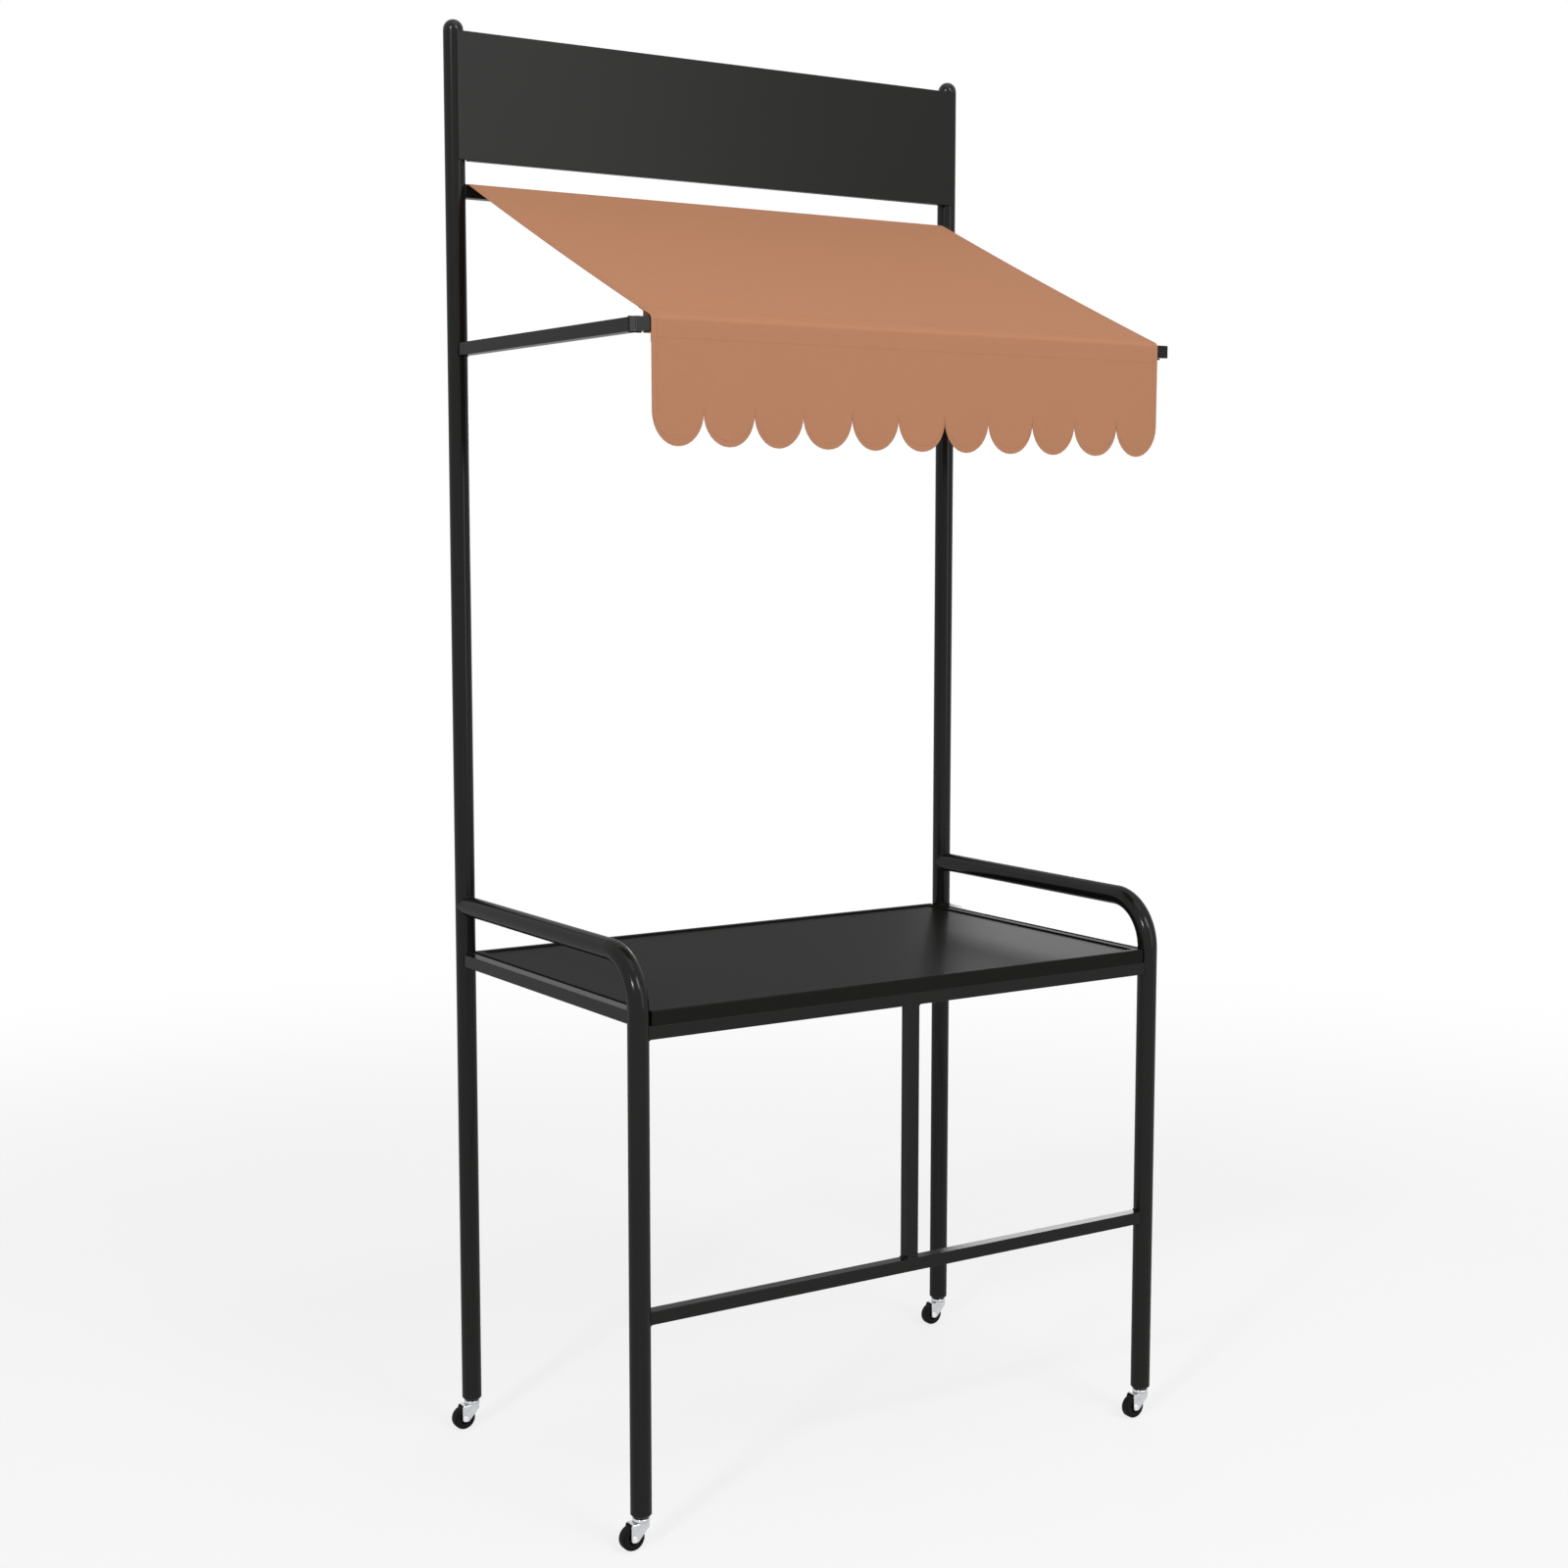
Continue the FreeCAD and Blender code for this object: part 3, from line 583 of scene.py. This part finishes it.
def weld_lines(bead):
    """The closed lines along which the frame's tubes and bars are welded."""
    tube_low, tube_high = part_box("right_rear_post")
    tube_r = (tube_high.x - tube_low.x) / 2
    post = middle_of("right_rear_post")
    leg_low, leg_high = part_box("right_front_leg")
    seat_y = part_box("awning_front_frame")[1].y
    strut = middle_of("centre_strut")
    strut_low, strut_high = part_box("centre_strut")
    bar_size = strut_high.x - strut_low.x
    bar_corner_r = bar_size / 20
    square = square_outline(bar_size, bar_corner_r)
    lines = []
    for side, name in ((-1, "left"), (1, "right")):
        rear = Vector((side * post.x, post.y, 0))
        front = Vector((side * post.x, leg_low.y + tube_r, 0))
        handrail = rear + UP * (leg_high.z - tube_r)
        lines.append(saddle(handrail, rear, -BACK, round_outline(tube_r), tube_r, bead))
        rail, arm = middle_of(name + "_table_rail"), middle_of(name + "_awning_arm")
        for member, carrier, out in ((rail, rear, -BACK), (rail, front, BACK), (arm, rear, -BACK)):
            lines.append(saddle(member, carrier, out, square, tube_r, bead))
        lines.append(flat_seat(Vector((arm.x, seat_y, arm.z)), RIGHT, UP, square))
        for bar, carrier in (("front_table_rail", front), ("lower_stretcher", front),
                             ("rear_table_rail", rear), ("awning_top_rail", rear)):
            lines.append(saddle(middle_of(bar), carrier, RIGHT * -side, square, tube_r, bead))
    for z in (strut_low.z, strut_high.z):
        lines.append(flat_seat(Vector((strut.x, strut.y, z)), RIGHT, BACK, square))
    return lines


def even_steps(line, step):
    """The points of a closed line, spread evenly about a step apart."""
    spans = list(zip(line, line[1:] + line[:1]))
    whole = sum((b - a).length for a, b in spans)
    count = round(whole / step)
    # A point closer than this to the end of a span is left to the next span.
    hair = step / 1000
    points, travelled, wanted = [], 0, 0
    for a, b in spans:
        run = (b - a).length
        while wanted < travelled + run - hair and len(points) < count:
            points.append(a.lerp(b, (wanted - travelled) / run))
            wanted += whole / count
        travelled += run
    return points


def bead_rings(line, welds):
    """Rings of a rippled bead along a closed line, the first one again at the end."""
    steps_a_ripple, ring_steps = 6, 10
    points = even_steps(line, welds.ripple / steps_a_ripple)
    middle = sum(points, Vector()) / len(points)
    rings = []
    for i, point in enumerate(points):
        ahead = (points[(i + 1) % len(points)] - points[i - 1]).normalized()
        outward = point - middle
        outward = (outward - ahead * outward.dot(ahead)).normalized()
        sideways = ahead.cross(outward)
        ripple = (i % steps_a_ripple) / steps_a_ripple
        radius = welds.bead * (BEAD_DIP + (BEAD_CREST - BEAD_DIP) * math.sqrt(ripple))
        rings.append([point + (outward * cosine + sideways * sine) * radius
                      for cosine, sine in circle(ring_steps)])
    return rings + rings[:1]


def joined(name, meshes):
    """One mesh from several."""
    whole = bmesh.new()
    for mesh in meshes:
        whole.from_mesh(mesh)
        bpy.data.meshes.remove(mesh)
    mesh = bpy.data.meshes.new(name)
    whole.to_mesh(mesh)
    whole.free()
    mesh.shade_smooth()
    return mesh


# Stitches

# A stitch's rings: the place of each along it and the thread's thickness there, both as shares
STITCH_RINGS = ((-0.5, 0.15), (-0.42, 0.85), (-0.2, 1.0), (0.2, 1.0), (0.42, 0.85), (0.5, 0.15))
# How deep a stitch's underside lies in the cloth, as a share of half the thread's thickness
STITCH_SINK = 0.6


def stitch_places(run, pitch):
    """The middle, direction and face normal of each stitch along a run."""
    lengths = [0]
    for (a, _), (b, _) in zip(run, run[1:]):
        lengths.append(lengths[-1] + (b - a).length)
    count = int(lengths[-1] / pitch)
    places = []
    i = 0
    for k in range(count):
        wanted = (k + 0.5) * lengths[-1] / count
        while lengths[i + 1] < wanted:
            i += 1
        (a, normal), (b, _) = run[i], run[i + 1]
        place = a.lerp(b, (wanted - lengths[i]) / (lengths[i + 1] - lengths[i]))
        places.append((place, (b - a).normalized(), normal))
    return places


def stitch_mesh(name, runs, awning):
    """Short threads laid along runs of points, each a (place, face normal) pair."""
    ring_steps = 6
    half = awning.thread / 2
    stitches = [stitch for run in runs for stitch in stitch_places(run, awning.stitch_pitch)]
    verts, faces = [], []
    for place, ahead, normal in stitches:
        sideways = ahead.cross(normal).normalized()
        first = len(verts)
        for along, swell in STITCH_RINGS:
            centre = place + ahead * (along * awning.stitch) + normal * (half * (swell - STITCH_SINK))
            for cosine, sine in circle(ring_steps):
                verts.append(centre + (sideways * cosine + normal * sine) * half * swell)
        last = len(verts) - ring_steps
        for ring in range(first, last, ring_steps):
            for j in range(ring_steps):
                p, q = ring + j, ring + (j + 1) % ring_steps
                faces.append((p, q, q + ring_steps, p + ring_steps))
        faces.append(tuple(range(first, first + ring_steps)))
        faces.append(tuple(reversed(range(last, last + ring_steps))))
    mesh = bpy.data.meshes.new(name)
    mesh.from_pydata(verts, [], faces)
    mesh.shade_smooth()
    return mesh


def facing(rows, i, j):
    """The direction straight out of the cloth's upper or outer face at one of its points."""
    down = rows[min(i + 1, len(rows) - 1)][j] - rows[max(i - 1, 0)][j]
    over = rows[i][min(j + 1, len(rows[i]) - 1)] - rows[i][max(j - 1, 0)]
    return down.cross(over).normalized()


def seams_in(rows, awning, first_on_top):
    """The rows nearest to the pockets' seams: near the rail, near the bar and on the valance."""
    def away(i, place):
        return (Vector((rows[i][0].y, rows[i][0].z)) - place).length
    return [min(range(first_on_top, len(rows)), key=lambda i: away(i, place))
            for place in seam_places(awning)]


def stitch_runs(rows, awning, seam_rows):
    """Rows of stitches on both faces of the cloth: the seams, two side hems and the foot."""
    last, wide = len(rows) - 1, len(rows[0])
    lines = [[(rows[i][j], facing(rows, i, j)) for j in range(wide)] for i in seam_rows]
    for edge, inward in ((0, 1), (wide - 1, -1)):
        inset = Vector((inward * awning.hem, 0, 0))
        lines.append([(rows[i][edge] + inset, facing(rows, i, edge))
                      for i in range(1, last) if rows[i][edge].z > rows[last][edge].z])
    lift = Vector((0, 0, awning.hem))
    lines.append([(rows[last][j] + lift, facing(rows, last - 1, j)) for j in range(wide)])
    proud = awning.cloth / 2
    return [[(place + normal * (proud * face), normal * face) for place, normal in line]
            for face in (-1, 1) for line in lines]


# Stage

# The camera's film in millimetres: the lens's focal length is the one that suits it
FILM_WIDTH = 36.0

# The lights: where each stands, the point that it faces, and its width and height
STALL_MIDDLE, TABLE_RIGHT = Vector((0, 0, 1.2)), Vector((0.4, 0, 0.8))
SOFTBOXES = {
    "key": (Vector((0.6, -5.2, 5.0)), STALL_MIDDLE, 2.0, 2.0),
    "strip": (Vector((2.2, -5.3, 2.4)), STALL_MIDDLE, 1.8, 3.6),
    "glint": (Vector((-5.6, -3.5, 4.3)), STALL_MIDDLE, 0.7, 0.7),
    "top": (Vector((0, -1.0, 5.4)), STALL_MIDDLE, 3.0, 3.0),
    "back": (Vector((3.7, 3.8, 1.7)), TABLE_RIGHT, 0.8, 0.8),
}


def place_camera(stage):
    """The camera at the photograph's place, angle and lens."""
    lens = bpy.data.cameras.new("camera")
    lens.lens = stage.camera_lens
    lens.sensor_width = FILM_WIDTH
    camera = bpy.data.objects.new("camera", lens)
    camera.location = stage.camera_place
    # A camera looks straight down until it is tilted up to the horizon.
    to_horizon = math.radians(90)
    aimed = Euler((to_horizon - stage.camera_pitch, 0, -stage.camera_yaw)).to_matrix()
    camera.rotation_euler = (aimed @ Matrix.Rotation(stage.camera_roll, 3, "Z")).to_euler()
    bpy.context.scene.collection.objects.link(camera)
    bpy.context.scene.camera = camera


def add_softbox(name, place, aim, wide, tall, power):
    """A rectangular area light that faces a point and isn't seen itself."""
    lamp = bpy.data.lights.new(name, "AREA")
    lamp.shape = "RECTANGLE"
    lamp.size = wide
    lamp.size_y = tall
    lamp.energy = power
    light = bpy.data.objects.new(name, lamp)
    light.location = place
    light.rotation_euler = (aim - place).to_track_quat("-Z", "Y").to_euler()
    light.visible_camera = False
    bpy.context.scene.collection.objects.link(light)


def light_room(strength):
    """An even white room: pure white to the eye and in reflections, and softer as light."""
    world = bpy.data.worlds.new("room")
    bpy.context.scene.world = world
    tree = bare_tree(world)
    ray = add_node(tree, "ShaderNodeLightPath").outputs
    seen = add_node(tree, "ShaderNodeMath", {0: ray["Is Camera Ray"], 1: ray["Is Glossy Ray"]},
                    operation="MAXIMUM").outputs["Value"]
    seen = add_node(tree, "ShaderNodeMath", {0: seen, 1: ray["Is Transmission Ray"]},
                    operation="MAXIMUM").outputs["Value"]
    level = add_node(tree, "ShaderNodeMapRange", {"Value": seen, "To Min": strength, "To Max": 1.0})
    light = add_node(tree, "ShaderNodeBackground", {
        "Color": linear("#FFFFFF"), "Strength": level.outputs["Result"]})
    add_node(tree, "ShaderNodeOutputWorld", {"Surface": light.outputs["Background"]})


def lay_floor(colour):
    """A pale floor that keeps a faint shadow and fades into the white room further out."""
    half, fade_from, fade_to = 6.0, 1.6, 4.5
    # How much of the white room shows through the floor near the stall
    clear_near = 0.75
    mesh = bpy.data.meshes.new("floor")
    mesh.from_pydata([(-half, -half, 0), (half, -half, 0), (half, half, 0), (-half, half, 0)], [],
                     [(0, 1, 2, 3)])
    floor = bpy.data.objects.new("floor", mesh)
    bpy.context.scene.collection.objects.link(floor)
    material = bpy.data.materials.new("pale painted floor")
    tree = bare_tree(material)
    place = add_node(tree, "ShaderNodeTexCoord").outputs["Object"]
    away = add_node(tree, "ShaderNodeVectorMath", {0: place}, operation="LENGTH").outputs["Value"]
    fade = add_node(tree, "ShaderNodeMapRange", {
        "Value": away, "From Min": fade_from, "From Max": fade_to, "To Min": clear_near},
        interpolation_type="SMOOTHSTEP")
    paint = add_node(tree, "ShaderNodeBsdfDiffuse", {"Color": colour})
    clear = add_node(tree, "ShaderNodeBsdfTransparent")
    both = add_node(tree, "ShaderNodeMixShader", {
        0: fade.outputs["Result"], 1: paint.outputs["BSDF"], 2: clear.outputs["BSDF"]})
    add_node(tree, "ShaderNodeOutputMaterial", {"Surface": both.outputs["Shader"]})
    mesh.materials.append(material)


# Operators

class STALL_OT_tubes(bpy.types.Operator):
    """Powder coats the tubes and bars, and lays the welds between them"""
    bl_idname = "stall.tubes"
    bl_label = "Finish the tube frame"

    def execute(self, context):
        colours, welds = context.scene.stall_colours, context.scene.stall_welds
        coat = powder_coat("gloss powder coat on tube", linear(colours.coat),
                           roughness=0.16, gloss=0.35)
        dress(ROUND_TUBES + SQUARE_TUBES, coat)
        meshes = [skin_of("bead", bead_rings(line, welds), closed=True)
                  for line in weld_lines(welds.bead)]
        add_piece("frame_welds", joined("frame_welds", meshes), coat)
        return {"FINISHED"}


class STALL_OT_sheets(bpy.types.Operator):
    """Powder coats the tabletop and the header panel"""
    bl_idname = "stall.sheets"
    bl_label = "Finish the sheet metal"

    def execute(self, context):
        black = linear(context.scene.stall_colours.coat)
        satin = powder_coat("satin powder coat on tabletop", black, roughness=0.3, gloss=0.13)
        glossy = powder_coat("gloss powder coat on header", black, roughness=0.3, gloss=0.36)
        dress(["tabletop"], satin)
        dress(["header_panel"], glossy)
        return {"FINISHED"}


class STALL_OT_awning(bpy.types.Operator):
    """Hangs the canopy with its valance, its front pocket and its stitches"""
    bl_idname = "stall.awning"
    bl_label = "Make the awning"

    def execute(self, context):
        awning, colours = context.scene.stall_awning, context.scene.stall_colours
        cloth = woven_cloth("woven terracotta canvas", linear(colours.cloth), awning.cloth)
        columns = cloth_columns(awning)
        stations, halves, first_on_top = canopy_stations(awning)
        rows, flat, along = sheet_rows(stations, halves, columns)
        hanging, hanging_flat = valance_rows(columns, awning, stations[-1], along)
        rows += hanging
        flat += hanging_flat
        canopy, area = sheet_piece("awning_cloth", rows, flat, awning, cloth)
        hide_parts("awning_canopy", "awning_valance")
        inner = front_pocket_stations(awning)
        pocket_rows, pocket_flat, pocket_length = sheet_rows(
            inner, halves[-1:] * len(inner), columns)
        pocket, pocket_area = sheet_piece(
            "awning_front_pocket", pocket_rows, pocket_flat, awning, cloth)
        thread = sewing_thread("sewing thread", linear(colours.cloth))
        seams = seams_in(rows, awning, first_on_top)
        stitches = stitch_mesh("awning_stitches", stitch_runs(rows, awning, seams), awning)
        sewn = add_piece("awning_stitches", stitches, thread)
        return {"FINISHED"}


class STALL_OT_caps(bpy.types.Operator):
    """Gives the posts' domed caps and the front bar's square plugs their glossy plastic"""
    bl_idname = "stall.caps"
    bl_label = "Finish the caps and plugs"

    def execute(self, context):
        black = linear(context.scene.stall_colours.cap)
        glossy = moulded_plastic("glossy moulded polythene", black,
                                 roughness=0.18, shine=0.3, grain=4 * MM)
        dress(CAPS, glossy)
        return {"FINISHED"}


class STALL_OT_casters(bpy.types.Operator):
    """Gives each caster its zinc, nylon and tread"""
    bl_idname = "stall.casters"
    bl_label = "Finish the casters"

    def execute(self, context):
        colours = context.scene.stall_colours
        nylon = moulded_plastic("moulded nylon", linear(colours.nylon),
                                roughness=0.4, shine=0.15, grain=1.2 * MM)
        zinc = plated_metal("bright zinc plate", linear(colours.zinc), roughness=0.16, mottle=5 * MM)
        rivet = plated_metal("bright rivet steel", linear(colours.rivet), roughness=0.1, mottle=3 * MM)
        tread = wheel_tread("hard wheel compound", linear(colours.tread))
        finishes = {"insert": nylon, "hub": nylon, "stem": zinc, "race_cap": zinc, "fork": zinc,
                    "axle": rivet, "balls": rivet, "tyre": tread}
        for corner in CORNERS:
            for piece, material in finishes.items():
                dress([corner + "_" + piece], material)
        return {"FINISHED"}


class STALL_OT_stage(bpy.types.Operator):
    """Sets the pale floor, the soft lights and the camera"""
    bl_idname = "stall.stage"
    bl_label = "Set the stage"

    def execute(self, context):
        stage = context.scene.stall_stage
        place_camera(stage)
        for name, softbox in SOFTBOXES.items():
            add_softbox(name, *softbox, getattr(stage, name + "_power"))
        light_room(stage.sky)
        lay_floor(linear(context.scene.stall_colours.floor))
        context.scene.view_settings.view_transform = "Standard"
        return {"FINISHED"}


# Panel and registration

class STALL_PT_panel(bpy.types.Panel):
    """Lists what makes and finishes the stall"""
    bl_idname = "STALL_PT_panel"
    bl_label = "Market stall"
    bl_space_type = "VIEW_3D"
    bl_region_type = "UI"
    bl_category = "Market stall"

    def draw(self, context):
        for operator in OPERATORS:
            self.layout.operator(operator.bl_idname)
        for key, group in GROUPS.items():
            box = self.layout.box()
            for name in group.__annotations__:
                box.prop(getattr(context.scene, key), name)


GROUPS = {"stall_awning": StallAwning, "stall_welds": StallWelds, "stall_colours": StallColours,
          "stall_stage": StallStage}
OPERATORS = (STALL_OT_tubes, STALL_OT_sheets, STALL_OT_awning, STALL_OT_caps, STALL_OT_casters,
             STALL_OT_stage)
CLASSES = (*GROUPS.values(), *OPERATORS, STALL_PT_panel)


def register():
    for cls in CLASSES:
        bpy.utils.register_class(cls)
    for name, group in GROUPS.items():
        setattr(bpy.types.Scene, name, PointerProperty(type=group))


def unregister():
    for name in GROUPS:
        delattr(bpy.types.Scene, name)
    for cls in reversed(CLASSES):
        bpy.utils.unregister_class(cls)


def main():
    register()
    bpy.ops.stall.tubes()
    bpy.ops.stall.sheets()
    bpy.ops.stall.awning()
    bpy.ops.stall.caps()
    bpy.ops.stall.casters()
    bpy.ops.stall.stage()


if __name__ == "__main__":
    main()
